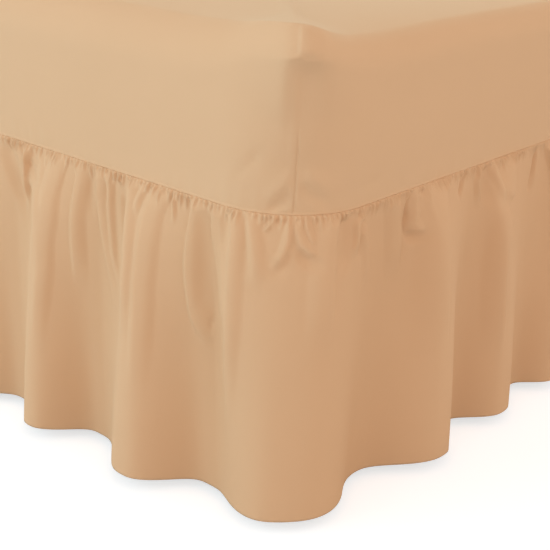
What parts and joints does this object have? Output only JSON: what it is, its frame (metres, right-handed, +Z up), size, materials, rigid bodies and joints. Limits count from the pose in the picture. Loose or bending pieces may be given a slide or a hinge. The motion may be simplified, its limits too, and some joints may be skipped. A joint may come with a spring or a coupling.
{
  "type": "fitted valance sheet on a mattress and bed base",
  "caption": "Plain fitted valance sheet: a smooth panel over the top and walls of a single mattress, with a gathered frill hanging round the bed base to just above the floor.",
  "frame": {"origin": "on the floor, under the middle of the bed", "axes": "+Z up, +Y along the bed towards its head, +X to the right of someone who stands at the foot and looks at the head"},
  "size_m": [1.032, 2.032, 0.64],
  "materials": {
    "sheet_cloth": "smooth matt plain weave in a warm peach beige, with a faint sheen",
    "mattress_ticking": "matt off-white ticking",
    "base_cloth": "matt pale woven cover",
    "foot_plastic": "satin black plastic"
  },
  "bodies": {
    "root": {"sheet_panel": "sheet_cloth", "frill_foot_right": "sheet_cloth", "frill_head_right": "sheet_cloth", "frill_head_left": "sheet_cloth", "frill_foot_left": "sheet_cloth", "mattress": "mattress_ticking", "bed_base": "base_cloth", "foot_1": "foot_plastic", "foot_2": "foot_plastic", "foot_3": "foot_plastic", "foot_4": "foot_plastic", "foot_5": "foot_plastic", "foot_6": "foot_plastic"}
  },
  "joints": []
}
